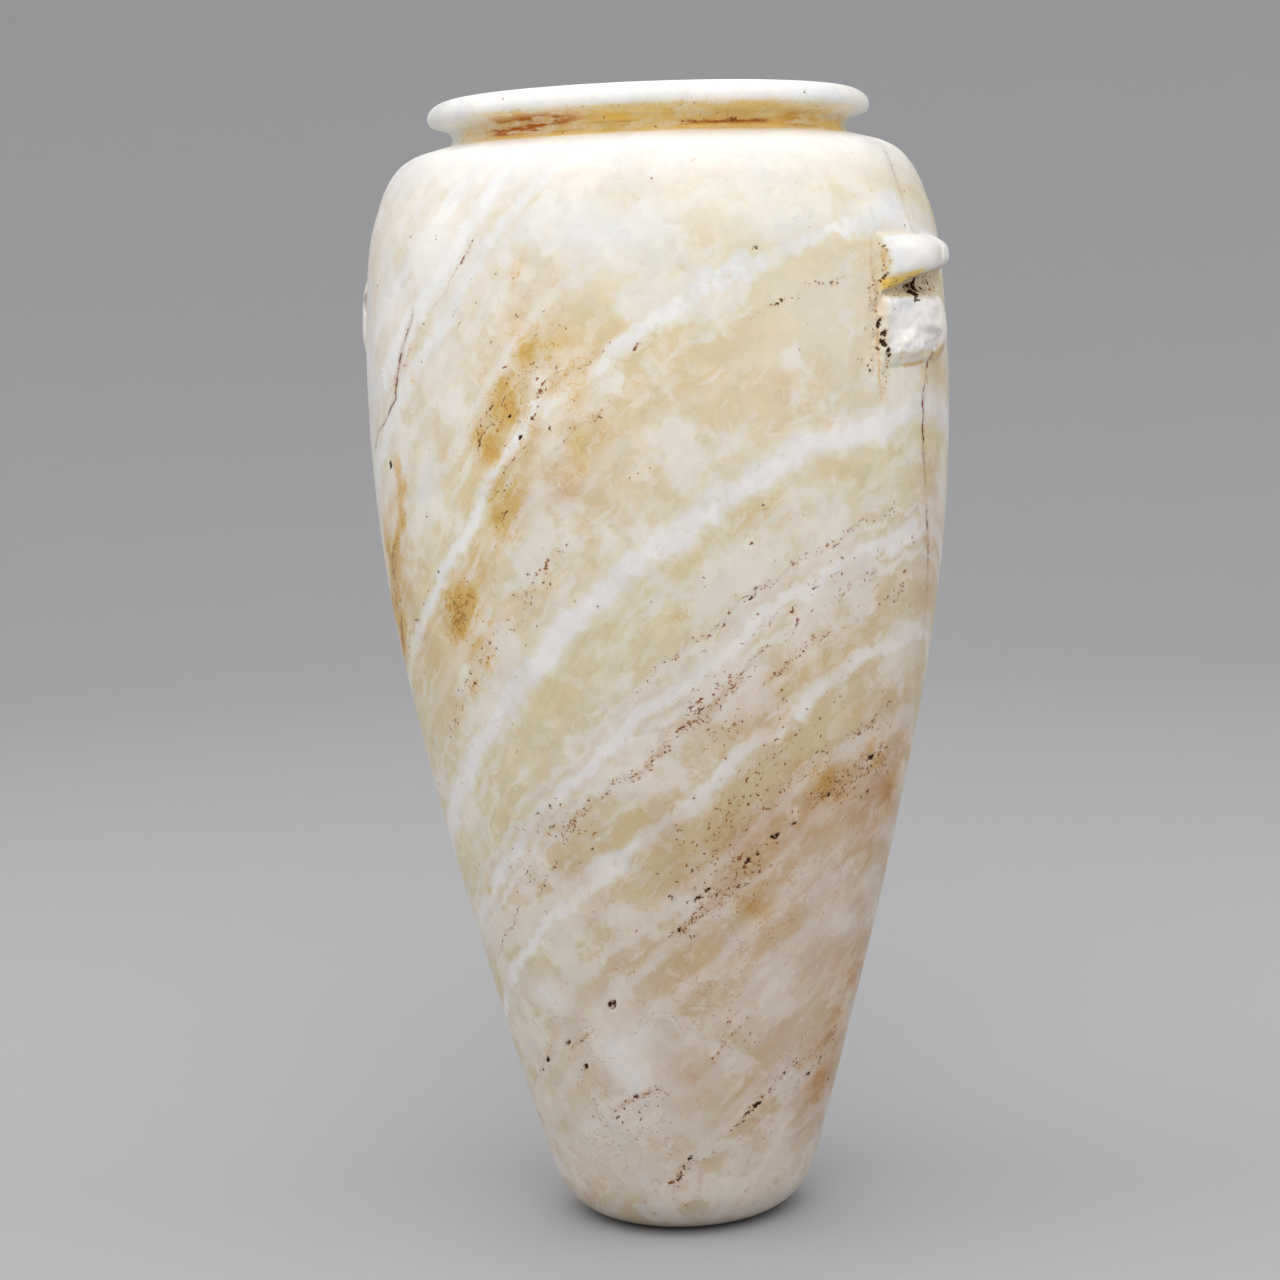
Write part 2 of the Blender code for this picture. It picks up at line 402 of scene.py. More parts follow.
def lug_section(along, height):
    """How far out the broken lug's section is at each wall point, how high, and which points it shapes."""
    share = (LUG_TOP - height) / (LUG_TOP - LUG_BOTTOM)
    even = np.linspace(0, 1, 240)
    stations = sorted(LUG_SECTIONS)
    place = np.interp(along, stations, range(len(stations)))
    out = up = 0
    for k, station in enumerate(stations):
        line = evenly(curve_through(LUG_SECTIONS[station], 12), len(even))
        weight = np.clip(1 - np.abs(place - k), 0, 1)
        out = out + weight * np.interp(share, even, line[:, 0])
        up = up + weight * np.interp(share, even, line[:, 1])
    return out, up, (share > 0) & (share < 1) & (np.abs(along) < 32)


def lower_break(there, along, height):
    """How far out the lower lobe's facets and rough places stand, with a groove before its right rim."""
    facets = sum(out * block(along, height + slant * along, *edges) for out, slant, *edges in LUG_FACETS)
    facets = facets - 1.3 * ridge(along - 9.6 - 0.12 * (height - 317), 1.1) * (height < 327)
    rough = 0.45 * fractal(there, 0.0045, 32, 3) + 0.5 * value_noise(there, 0.009, 33)
    crumbly = block(along, height, -20, -5, 307.5, 314.5, 2) * np.abs(fractal(there, 0.003, 34, 2))
    return facets + eased(17, 13, along) * (rough + crumbly)


def shape_broken_lug(points):
    """How far wall points move out and up, into two rough lobes with the open drill hole between them."""
    along, height = beside_lug(points)
    section_out, section_height, inside = lug_section(along, height)
    is_upper = eased(327, 332, section_height)
    ragged = 2 * fractal(points, 0.006, 31, 3) * (1 - is_upper)
    left = eased(-25.5 + 1.5 * is_upper, -22.5 + 1.2 * is_upper, along + ragged)
    left = left * (1 - 0.38 * is_upper * eased(-6, -21, along))
    right = np.clip(dome(np.clip(along * MM / LUG_HALF_WIDTH, 0, 1)) / LUG_PROTRUSION, 0, 1)
    end = np.where(inside, left**0.8 * right, 0)
    out = end * section_out
    up = end * (section_height - height)
    there = moved(points, out * MM, up * MM)
    height = height + up
    broken = (1 - is_upper) * end * lower_break(there, along, height)
    dents = 0.45 * np.minimum(fractal(there, 0.01, 35, 3), 0)
    dents = dents - 0.8 * ridge(along - 6 - 0.15 * (height - 341), 0.9)
    return (out + broken + is_upper * end * dents) * MM, up * MM


def around_lug(points):
    """The strip beside and below the broken lug where the wall is worn and crusted, 0 to 1."""
    along, height = beside_lug(points)
    ragged = 1.6 * fractal(points, 0.009, 36, 3)
    beside = eased(-32.5, -28.5, along + ragged) * eased(-20, -23.5, along)
    return beside * window(height + 4 * ragged, 286, 302, 334, 350)


def oval(across, up, length, width, slant):
    """How far inside an oval each place lies: 1 at its centre, 0 on its edge, and less outside it."""
    x = (across * cos(slant) + up * sin(slant)) / (length / 2)
    y = (up * cos(slant) - across * sin(slant)) / (width / 2)
    return 1 - np.sqrt(x**2 + y**2)


def pit_depths(points):
    """How deep the pits are at each point in millimetres, and how far inside a pit it is."""
    bearing, height, radius = places(points)
    along = beside_lug(points)[0]
    lug_height = height + shape_broken_lug(points)[1] / MM
    ragged = 0.35 * fractal(points, 0.0018, 41, 2)
    depth = np.zeros(len(points))
    inside = np.full(len(points), -1.0)
    ovals = []
    for at, up, length, width, deep in PITS:
        slant = atan(0.78 * cos(radians(at)) - 0.61 * sin(radians(at)))
        ovals.append((oval(round_from(at, bearing, radius), height - up, length, width, slant), deep))
    for at, up, length, width, slant, deep in LUG_PITS:
        ovals.append((oval(along - at, lug_height - up, length, width, radians(slant)), deep))
    for far_in, deep in ovals:
        far_in = np.where(far_in > -1, far_in + ragged, far_in)
        depth = np.maximum(depth, deep * eased(-0.1, 0.7, far_in))
        inside = np.maximum(inside, far_in)
    return depth, inside


def cracks_beside(points):
    """How many millimetres round the wall each point is from the nearer crack, and how plain the crack is."""
    bearing, height, radius = places(points)
    nearest = np.full(len(points), 99.0)
    plain = np.zeros(len(points))
    wander = 0.8 * fractal(points, 0.009, 46, 3)
    for crack in CRACKS:
        heights, bearings, plainness = np.array(sorted(crack)).T
        off = (bearing - np.interp(height, heights, bearings)) * np.radians(1) * radius + wander
        closer = np.abs(off) < np.abs(nearest)
        plain = np.where(closer, np.interp(height, heights, plainness, 0, 0), plain)
        nearest = np.where(closer, off, nearest)
    return nearest, plain * (0.35 + 0.65 * eased(-0.35, 0.15, fractal(points, 0.007, 45, 3)))


def near_marks(points):
    """Where the mesh must be fine enough to hold a pit or a crack."""
    found = np.zeros(len(points), bool)
    bearing, height, radius = places(points)
    for at, up, length, _, _ in PITS:
        found |= np.hypot(round_from(at, bearing, radius), height - up) < length / 2 + 1.6
    off, plain = cracks_beside(points)
    return on_wall(points) & (found | ((np.abs(off) < 1.9) & (plain > 0)))


def moved(points, out, up=0):
    """The points, moved away from the axis by out and upwards by up."""
    radius = np.hypot(points[:, 0], points[:, 1])
    scale = (radius + out) / np.maximum(radius, 1e-9)
    return np.stack([points[:, 0] * scale, points[:, 1] * scale, points[:, 2] + up], axis=1)


UNEVENNESS = 0.00035
UNEVEN_SIZE = 0.11
CRACK_DEPTH = 0.45
CRACK_HALF_WIDTH = 0.9


def carve(mesh):
    """Gives the turned mesh its lugs, pits and cracks, and the slight unevenness of hand work."""
    points = np.array([v.co for v in mesh.verts])
    outside = on_wall(points)
    exact = wall_radius(points[:, 2]) - np.hypot(points[:, 0], points[:, 1])
    points = moved(points, np.where(outside, exact, 0))
    uneven = UNEVENNESS * fractal(points, UNEVEN_SIZE, 3, 3) * eased(0, 0.02, points[:, 2])
    whole = np.where(outside, shape_whole_lug(points), 0)
    out, up = shape_broken_lug(points)
    crust = around_lug(points) * (0.15 + 0.45 * fractal(points, 0.0032, 51, 3))
    crack_off, plain = cracks_beside(points)
    pits = pit_depths(points)[0] + CRACK_DEPTH * plain * eased(CRACK_HALF_WIDTH, 0, np.abs(crack_off))
    out = out - MM * (crust + pits)
    points = moved(points, np.where(outside, out + whole, 0) + uneven, np.where(outside, up, 0))
    for vert, place in zip(mesh.verts, points):
        vert.co = place


def keep_marks(mesh):
    """Stores on each point, before it is moved, what the stone's material needs to know about it."""
    points = np.array([v.co for v in mesh.verts])
    for name, values in marks(points).items():
        layer = mesh.verts.layers.float.new(name)
        for vert, value in zip(mesh.verts, values):
            vert[layer] = value


def placed(name, data):
    """A new object in the scene, with this mesh, light or camera."""
    if isinstance(data, bmesh.types.BMesh):
        mesh, data = data, bpy.data.meshes.new(name)
        mesh.to_mesh(data)
        mesh.free()
    made = bpy.data.objects.new(name, data)
    bpy.context.scene.collection.objects.link(made)
    return made


def make_jar():
    mesh = turned_jar()
    for wanted in (near_lug(BROKEN_LUG_TURN, 0.007), near_lug(WHOLE_LUG_TURN, 0.002), near_marks):
        refine(mesh, wanted)
    keep_marks(mesh)
    carve(mesh)
    bmesh.ops.recalc_face_normals(mesh, faces=mesh.faces)
    return placed("carved_jar", mesh)


def drill_whole_lug(jar):
    """Cuts the round hole through the whole lug."""
    bpy.ops.mesh.primitive_cylinder_add(vertices=HOLE_SIDES, radius=HOLE_RADIUS, depth=HOLE_LENGTH)
    drill = bpy.context.object
    out = Matrix.Translation((LUG_WALL - HOLE_SUNK, 0, HOLE_HEIGHT))
    drill.matrix_world = Matrix.Rotation(WHOLE_LUG_TURN, 4, "Z") @ out @ Matrix.Rotation(pi / 2, 4, "X")
    cut = jar.modifiers.new("drill", "BOOLEAN")
    cut.operation = "DIFFERENCE"
    cut.solver = "EXACT"
    cut.object = drill
    bpy.context.view_layer.objects.active = jar
    bpy.ops.object.modifier_apply(modifier=cut.name)
    bpy.data.objects.remove(drill)


# ---- what is where in the stone
# The layers of the calcite lie across the jar, and rise towards its broken lug. A layer is named by how many
# millimetres up the axis it crosses it.
LAYERS_ACROSS = Vector((-0.965, 0.223, 1.0))

# How far the layers swing from flat planes: for a layer, (bearing, millimetres up) round the face
SWINGS = {
    113: (
        (-110, 0), (-75, 4), (-50, 4), (-30, 2), (-10, -4), (5, -7), (20, -4), (35, 0), (50, 4), (70, 9),
        (110, 0),
    ),
    191: ((-110, 0), (-80, 2), (-20, 2), (0, -1), (10, -3), (30, -5), (48, -6), (60, 0), (80, 2), (110, 0)),
    261: (
        (-110, 0), (-70, -3), (-50, -5), (-40, -3), (-28, 4), (-20, 6), (-10, 1), (10, -1), (20, -5),
        (40, -8), (62, -9), (80, -6), (110, 0),
    ),
}

# Soft oval patches: bearing, height, half width, half height (millimetres), strength. Amber and rust:
STAINS = (
    (-28, 297, 9, 12, 1.1), (-25, 316, 6, 10, 0.7), (-24, 336, 5, 12, 0.45), (-33, 283, 7, 9, 0.9),
    (-31, 262, 8, 10, 0.9), (-36, 244, 7, 9, 0.6), (-68, 241, 8, 14, 1.7), (-76, 221, 9, 12, 1.8),
    (-62, 262, 5, 14, 1), (-43, 229, 9, 10, 1.5), (-17, 300, 12, 45, 0.45), (20, 258, 14, 14, 0.4),
    (-38, 216, 7, 8, 0.6), (-52, 302, 3, 6, 0.8), (-45, 285, 4, 10, 0.4), (-46, 205, 6, 7, 0.5),
    (-15, 252, 6, 3, 0.6), (-16, 303, 12, 5, 0.35), (-5, 272, 3, 8, 0.5), (3, 228, 5, 4, 0.5),
    (12, 262, 6, 3, 0.4), (22, 295, 10, 5, 0.35), (33, 288, 8, 4, 0.4), (-40, 157, 8, 4, 0.4),
    (-58, 130, 5, 8, 0.4), (25, 186, 10, 20, 0.3), (22, 127, 12, 8, 0.45), (40, 164, 15, 8, 0.9),
    (52, 172, 12, 9, 0.8), (64, 160, 12, 14, 0.7), (60, 80, 12, 20, 0.6), (58, 47, 8, 14, 0.6),
    (-60, 75, 5, 10, 0.3), (110, 250, 14, 20, 0.7), (150, 150, 16, 12, 0.6), (-130, 300, 12, 18, 0.8),
    (-160, 200, 14, 22, 0.7), (178, 310, 12, 10, 0.5),
)

# Seams of dark specks: layer, half thickness, from and to which bearing, how many specks. They are used as
# two sets, every other one in each, so that two seams of one set seldom lie close together.
SEAMS = (
    (127, 1.1, -70, -44, 1), (68, 1.3, -39, -27, 1), (126, 1.6, -40, -28, 1),
    (75, 1.4, -75, -45, 0.5), (135, 2, -28, -9, 0.9), (246, 2, -22, -8, 0.6), (133, 2, -10, 3, 0.9),
    (244, 1.8, 14, 40, 0.3), (136, 4, 1, 16, 1), (138, 1.2, 12, 46, 0.7), (129, 1.3, 15, 60, 0.8),
    (100, 9, 6, 36, 0.5), (77, 5, -2, 60, 0.9), (90, 3, 20, 60, 0.35), (36, 1.8, -26, -7, 1),
    (24, 1.6, -21, -14, 0.8), (31, 1.8, 8, 19, 0.8), (2, 2, -8, 64, 0.8), (265, 1.2, -66, -4, 0.45),
    (157, 1.6, -6, 50, 0.6), (278, 8, -36, -20, 0.4), (213, 6, -58, -18, 0.3),
    (346, 1.2, -64, -34, 0.7), (128, 1.4, 95, 170, 0.7), (90, 4, -170, -100, 0.6),
    (210, 2, 120, 178, 0.5),
)

# Pale, where the stone is whiter; the patches on the jar's left side are partly painted light as well:
PALE_AND_LIT_PATCHES = (
    (-16, 70, 14, 18, 1.25), (-42, 92, 14, 9, 0.9), (50, 112, 13, 9, 0.8), (24, 98, 12, 9, 0.6),
    (-38, 44, 9, 13, 0.7), (44, 30, 11, 13, 0.7), (-32, 28, 30, 11, 0.5), (46, 62, 16, 12, 0.4),
    (-4, 46, 12, 10, 0.6), (-52, 48, 14, 9, 0.6), (-34, 74, 34, 30, 0.35), (42, 118, 12, 7, 0.45),
    (52, 96, 14, 12, 0.4), (22, 26, 16, 9, 0.5), (20, 78, 12, 8, 0.35), (62, 292, 14, 8, 0.6),
    (35, 326, 22, 14, 0.45), (30, 262, 12, 6, 0.3), (-46, 346, 16, 16, 0.75), (-62, 330, 12, 34, 0.7),
    (30, 322, 30, 20, 0.4), (-45, 306, 8, 20, 0.5), (-50, 270, 5, 18, 0.7), (-8, 352, 30, 12, 0.75),
    (24, 354, 30, 11, 0.7), (52, 353, 26, 9, 0.9), (-76, 300, 10, 40, 0.8), (-20, 330, 8, 14, 0.35),
    (60, 210, 14, 10, 0.45), (-140, 180, 24, 14, 0.6), (120, 330, 22, 12, 0.6), (170, 60, 20, 14, 0.5),
)

# Tan, where the whole stone is browner; the patches on the jar's right side are partly painted shade as well:
TAN_AND_SHADE_PATCHES = (
    (48, 105, 60, 80, 0.38), (22, 150, 20, 15, 0.7), (62, 48, 16, 17, 0.8), (58, 155, 24, 36, 0.62),
    (64, 90, 24, 34, 0.68), (66, 250, 12, 60, 0.3), (0, 71, 9, 9, 0.42), (-20, 130, 10, 10, 0.36),
    (20, 190, 12, 9, 0.34), (20, 92, 12, 12, 0.36), (0, 146, 12, 17, 0.34), (-20, 270, 12, 9, 0.3),
    (-62, 216, 12, 20, 0.26), (-30, 62, 10, 6, 0.2),
)

# Moss of fine specks:
MOSS = (
    (8, 197, 5, 4, 0.88), (13, 190, 7, 5, 0.41), (15, 170, 9, 5, 0.41), (24, 178, 4, 14, 0.31),
    (42, 165, 9, 6, 0.54), (52, 172, 5, 5, 0.41), (12, 138, 14, 6, 0.34), (-28, 152, 12, 7, 0.27),
    (-42, 138, 8, 6, 0.27), (-28, 296, 6, 10, 0.16), (-31, 262, 6, 8, 0.31), (-43, 230, 7, 6, 0.34),
    (-5, 272, 5, 5, 0.2), (3, 150, 8, 8, 0.2), (50, 60, 9, 6, 0.34), (-18, 50, 10, 5, 0.34),
    (18, 82, 8, 6, 0.24), (-75, 222, 8, 12, 0.34), (30, 235, 30, 8, 0.12), (48, 226, 12, 5, 0.2),
)


def bumps(points, patches, wander):
    """The strongest of some soft oval patches at each point."""
    bearing, height, radius = places(points)
    found = np.zeros(len(points))
    for at, up, half_width, half_height, strength in patches:
        x = (round_from(at, bearing, radius) + wander[0]) / half_width
        y = (height - up + wander[1]) / half_height
        found = np.maximum(found, strength * np.exp(-0.8 * (x**2 + y**2)))
    return found


def seam_fields(points, layer, seams):
    """How far each point is from the nearest seam, how thick that seam is, and how strong it is there."""
    bearing = places(points)[0]
    away = np.full(len(points), 12.0)
    half = np.ones(len(points))
    strength = np.zeros(len(points))
    for at, thick, start, end, strong in seams:
        off = layer - at
        here = eased(-1.5, 3.0, np.minimum(bearing - start, end - bearing))
        here = here * eased(12, 9, np.abs(off))
        nearer = (strong * here > 0) & (np.abs(off) / thick < np.abs(away) / half)
        away = np.where(nearer, off, away)
        half = np.where(nearer, thick, half)
        strength = np.where(nearer, strong * here, strength)
    return away, half, strength


def neck_stain(points):
    """How much amber, gold and brown the groove of the neck has drawn up, in streaks that run round it."""
    bearing, height, radius = places(points)
    nine_times_as_high = points * np.array([1, 1, 9])
    streak = fractal(nine_times_as_high, 0.022, 81, 4)
    front = 0.25 + 0.75 * eased(84, 62, np.abs(bearing))
    groove = window(height, 382.4, 384.6, 389, 391.5)
    lip = 0.55 * window(height, 383, 386, 390.6, 394.6) * window(bearing, -62, -40, 50, 78)
    amber = front * np.maximum(1.3 * lip, 0.7 * groove)
    gold = np.maximum(lip * (0.8 + 0.5 * streak), groove * (0.62 + 0.4 * streak))
    gold = front * eased(-80, -55, bearing) * gold
    left = np.exp(-(((bearing + 36) / 16) ** 4)) * window(height, 384.6, 385.6, 389.6, 391)
    left = left * eased(-0.9, -0.2, streak)
    line = ridge(height - 386.4 - 0.4 * streak, 0.8) * window(bearing, -24, -16, 30, 40)
    line = line * eased(-0.5, 0.1, streak)
    right = 0.4 * ridge(bearing - 46, 9) * eased(0, 0.5, streak) * groove
    brown = np.maximum.reduce([left, line, right])
    outside = radius > MOUTH_FLAT_RADIUS / MM
    return [np.where(outside, np.clip(share, 0, 1), 0) for share in (amber, gold, brown, line)]


def swing_of_layers(points):
    """How far the layer that each point lies in has swung up, in millimetres."""
    bearing = places(points)[0]
    straight = points @ np.array(LAYERS_ACROSS) / MM
    levels = sorted(SWINGS)
    swings = []
    for level in levels:
        at, up = curve_through(SWINGS[level], 6).T
        swings.append(np.interp(bearing, at, up))
    place = np.interp(straight, levels, range(len(levels)))
    swing = sum(np.clip(1 - np.abs(place - k), 0, 1) * s for k, s in enumerate(swings))
    unseen = eased(70, 120, np.abs(bearing))
    return swing + (1.6 + 5 * unseen) * fractal(points, 0.04, 61, 2)


def lug_marks(points):
    """The whites, stains and crust on and beside the broken lug, and the shade painted beneath its upper
    lobe, below its lower lobe and in its channel, by where each point ends up.
    """
    along, height = beside_lug(points)
    out, up = shape_broken_lug(points)
    out = out / MM
    height = height + up / MM
    here = (np.abs(along) < 34) & (height > 280) & (height < 356) & on_wall(points)
    blur = fractal(moved(points, 0, up), 0.005, 73, 3)

    # the two lobes and the channel between them
    upper = eased(333, 336, height + 0.8 * blur) * eased(0.6, 2.6, out)
    lower = eased(328.6, 326.8, height) * eased(307, 309, height + blur)
    lower = lower * eased(-24.5, -22, along) * eased(0.1, 0.6, out)
    channel = window(height, 325.6, 327.4, 334, 336) * window(along, -29, -25, 18, 22)
    channel = channel * eased(5, 2.5, out)
    bare = (1 - lower) * (1 - upper)

    # the golden facet beneath the upper lobe, partly the stone's amber and partly painted shade, and the
    # stains on the lobes' edges and beside them
    facet = block(along, height - 0.2 * (along + 22), -26, -6 + 3 * blur, 329, 333.4, 0.7)
    facet = facet * eased(-0.5, 1.5, out)
    side = 0.9 * ridge(along + 23.4, 1.7) * ridge(height - 338.5 + blur, 5) * eased(0.3, 2, out)
    # painted shade: a brown strip along the upper lobe's underside, which also darkens the specks there
    shade_below_upper_lobe = 0.7 * block(along, height - 0.12 * along, -5, 19, 333.6, 335.6, 0.7)
    # painted shadow: an amber strip below the lower lobe's bottom edge
    shadow_below_lower_lobe = 0.7 * block(along, height + 0.5 * blur, -16, 0, 303.8, 305.2, 0.6)
    rim = 0.7 * ridge(along - 12, 5) * ridge(height - 308.6, 2.5)
    honey = 0.35 * block(along, height, -4, 4, 336.5, 342, 2)
    honey = honey + 0.35 * block(along, height, -18, 8, 306, 309.5, 1)
    lines = sum(ridge(along - at - 0.7 * blur, 0.6) for at in (-35, -26.5))
    lines = 0.5 * lines * window(height, 286, 296, 338, 350)

    beside = around_lug(points)
    crumbs = eased(-0.1, 0.8, blur)
    above, below = eased(340, 354, height), eased(296, 282, height)
    beyond = np.maximum.reduce([above, below, eased(25, 33, np.abs(along))])
    return {
        "here": here,
        "bare": bare,
        "beyond": beyond,
        "amber": np.maximum.reduce([side, shadow_below_lower_lobe, rim, honey, lines * bare]),
        "brown": np.maximum(shade_below_upper_lobe, 0.35 * lines * bare),
        "ochre": facet * (0.9 + 0.3 * blur),
        "pale": np.maximum(0.95 * upper, 0.9 * lower),
        "crust": np.maximum(0.55 * beside * (0.6 + 0.4 * crumbs), 0.8 * channel),
        # dark specks: crusted pits beside the lug and the lobes' stained ends, and painted shade in the
        # channel and beneath the upper lobe
        "dirt_and_shade": np.maximum.reduce([0.9 * beside * crumbs, 0.5 * channel + 0.5 * shade_below_upper_lobe * crumbs, 0.5 * side]),
    }


def marks(points):
    """What the stone's material needs to know about each point: a name and a value for each."""
    wander = [5 * fractal(points, 0.016, seed, 3) for seed in (71, 72)]
    swing = swing_of_layers(points)
    layer = points @ np.array(LAYERS_ACROSS) / MM - swing
    fields = {}
    for name, seams in (("first", SEAMS[0::2]), ("second", SEAMS[1::2])):
        values = seam_fields(points, layer, seams)
        fields.update({f"{name}_{part}": v for part, v in zip(("away", "half", "strength"), values)})
    crack_off, crack_plain = cracks_beside(points)
    neck_amber, neck_gold, neck_brown, neck_line = neck_stain(points)
    lug = lug_marks(points)
    here, bare = lug["here"], lug["bare"]
    amber = bumps(points, STAINS, wander)
    amber = np.where(here, np.maximum(amber * bare, lug["amber"]), amber)
    pale = bumps(points, PALE_AND_LIT_PATCHES, wander)
    pale = np.where(here, np.maximum(pale * bare * (0.5 + 0.5 * lug["beyond"]), lug["pale"]), pale)
    moss = bumps(points, MOSS, wander)
    return {
        **fields,
        "swing": swing,
        "crack_off": crack_off,
        "crack_plain": crack_plain,
        "amber": np.maximum(amber, neck_amber),
        "brown": np.maximum(neck_brown, np.where(here, lug["brown"], 0)),
        "ochre": np.where(here, lug["ochre"], neck_gold),
        "tan_and_shade": bumps(points, TAN_AND_SHADE_PATCHES, wander),
        "pale": pale,
        "crust": np.where(here, lug["crust"], 0),
        "dirt_and_shade": np.where(here, lug["dirt_and_shade"], np.maximum(moss, neck_line)),
        "pit": eased(-0.15, 0.3, pit_depths(points)[1]),
    }


jar = make_jar()
drill_whole_lug(jar)
jar.data.shade_smooth()


# ---- the stone's material
def paint(red, green, blue):
    """A display colour, 0 to 255, as the linear colour that a shader takes."""
    return tuple(((c / 255 + 0.055) / 1.055) ** 2.4 for c in (red, green, blue)) + (1,)


WHITE = paint(245, 243, 239)
BLUE_WHITE = paint(235, 236, 237)
PINK_WHITE = paint(237, 229, 224)
CHALK = paint(226, 217, 190)
PINK = paint(222, 199, 182)
HONEY = paint(222, 194, 146)
CREAM = paint(212, 188, 146)
OLIVE = paint(212, 200, 158)
TAN_AND_SHADE = paint(222, 190, 160)
AMBER = paint(242, 212, 148)
OCHRE = paint(253, 214, 108)
BROWN = paint(188, 102, 14)
RUST = paint(158, 100, 42)
RUSSET = paint(134, 70, 14)
SOOT = paint(56, 30, 6)
UMBER = paint(184, 134, 70)
VEIN = paint(182, 130, 98)

# Colour of the stone between its white bands: layer, red, green, blue. The lower layers are darker, partly
# the stone's own colour and partly painted shade for the light that falls off towards the foot
ZONES = (
    (-60, 216, 199, 183), (10, 213, 193, 171), (45, 214, 196, 174), (68, 213, 191, 163),
    (78, 211, 186, 154), (96, 219, 204, 168), (122, 214, 193, 150), (133, 222, 205, 180),
    (150, 226, 212, 193), (162, 225, 213, 178), (182, 228, 216, 176), (200, 230, 216, 186),
    (216, 230, 212, 178), (243, 228, 208, 163), (274, 232, 215, 172), (300, 236, 222, 197),
    (345, 239, 227, 210), (440, 239, 231, 220),
)

# How far the layers' edges stray, and between which layers the foot's coarse crystals come in
SWAY = 11.0
COARSE_BELOW = (112, 84)

# Sizes of the noises and of the crystals
RIPPLE_SIZE = 0.011
CLOUD_SIZE = 0.03
MILK_SIZE = 0.008
STREAK_SIZE = 0.008
RELIEF_SIZE = 0.005
GRAIN_SIZE = 0.0016
LARGE_CRYSTAL = 0.0105
SMALL_CRYSTAL = 0.004

# White bands: layer, half thickness, strength
WHITE_BANDS = (
    (-20, 4, 0.5), (6, 4, 0.5), (24, 3.5, 0.45), (40, 4.5, 0.5), (58, 3.5, 0.55), (72, 2.5, 0.5),
    (86, 3, 0.6), (112, 3.4, 0.95), (139, 1.6, 0.7), (147, 3.2, 0.95), (155, 1.4, 0.6), (191, 6.2, 1),
    (229, 3, 0.3), (261, 4, 0.95), (292, 4, 0.6), (318, 3, 0.5), (336, 4.5, 0.85), (356, 6.5, 0.95),
    (376, 5, 0.85),
)

# A ramp holds 32 stops, so the bands are looked up in groups between these layers
BAND_GROUPS = (-60, 104, 210, 400)

stone = bpy.data.materials.new("banded_calcite")
stone.use_nodes = True
tree = stone.node_tree


def node(kind, inputs, **settings):
    """A new node, with a value or another node's output for each input."""
    made = tree.nodes.new("ShaderNode" + kind)
    for name, value in settings.items():
        setattr(made, name, value)
    for key, value in inputs.items():
        if isinstance(value, bpy.types.NodeSocket):
            tree.links.new(value, made.inputs[key])
        else:
            made.inputs[key].default_value = value
    return made


# Each of these adds nodes to the stone, and gives their outputs for others to take
def maths(operation, *values, clamp=False):
    return node("Math", dict(enumerate(values)), operation=operation, use_clamp=clamp).outputs[0]


def times(value, factor):
    return maths("MULTIPLY", value, factor)


def over(value, divisor):
    return maths("DIVIDE", value, divisor)


def plus(value, more, clamp=False):
    return maths("ADD", value, more, clamp=clamp)


def less(value, taken, clamp=False):
    return maths("SUBTRACT", value, taken, clamp=clamp)


def scaled_plus(value, scale, more):
    return maths("MULTIPLY_ADD", value, scale, more)


def largest(found, *values):
    for value in values:
        found = maths("MAXIMUM", found, value)
    return found


def vector(operation, *values, output=0):
    return node("VectorMath", dict(enumerate(values)), operation=operation).outputs[output]


def towards(place, direction):
    """How far a place lies in a direction."""
    return vector("DOT_PRODUCT", place, Vector(direction), output=1)


def span(value, low, high, to_low=0.0, to_high=1.0):
    """value, eased from low..high to to_low..to_high."""
    inputs = {"Value": value, "From Min": low, "From Max": high, "To Min": to_low, "To Max": to_high}
    return node("MapRange", inputs, interpolation_type="SMOOTHSTEP").outputs["Result"]


def mix(share, below, above, blend="MIX"):
    inputs = {0: share, 6: below, 7: above}
    return node("Mix", inputs, data_type="RGBA", blend_type=blend).outputs[2]


def noise(place, size, detail=3.0, roughness=0.5, output="Color"):
    """Three noises about 0.5 at once, as one colour, or one of them with the output Fac."""
    inputs = {"Vector": place, "Scale": 1 / size, "Detail": detail, "Roughness": roughness}
    return node("TexNoise", inputs).outputs[output]


def shifted(place, noises, reach):
    """A place, moved by three noises about 0.5."""
    return vector("MULTIPLY_ADD", vector("SUBTRACT", noises, (0.5,) * 3), (reach,) * 3, place)


def parts(colour):
    return node("SeparateColor", {0: colour}).outputs


def cells(place, size, blur=0.0):
    """(distance, colour) of crystal-like cells about size across, with blurred edges where blur is over 0."""
    inputs = {"Vector": place, "Scale": 1 / size}
    if blur:
        inputs["Smoothness"] = blur
    made = node("TexVoronoi", inputs, feature="SMOOTH_F1" if blur else "F1")
    return made.outputs[:2]


def ramp(value, low, high, stops):
    """value, from low to high, looked up in a ramp whose stops are (value, colour)."""
    made = node("ValToRGB", {"Fac": over(less(value, low), high - low)})
    ends = made.color_ramp.elements
    while len(ends) < len(stops):
        ends.new(1)
    for element, (stop, colour) in zip(ends, stops):
        element.position = (stop - low) / (high - low)
        element.color = colour
    return made.outputs["Color"]


def mark(name):
    """One of the marks kept on the jar's points."""
    return node("Attribute", {}, attribute_name=name).outputs["Fac"]


def bands_between(layer, low, high):
    """How white the bands from layer low to layer high make a point."""
    stops = [(low, (0, 0, 0, 1))]
    for middle, half, strength in WHITE_BANDS:
        if low < middle < high:
            for off, value in ((-1.6, 0), (-0.5, strength), (0.5, strength), (1.6, 0)):
                stops.append((middle + off * half, (value, value, value, 1)))
    return ramp(layer, low, high, stops)


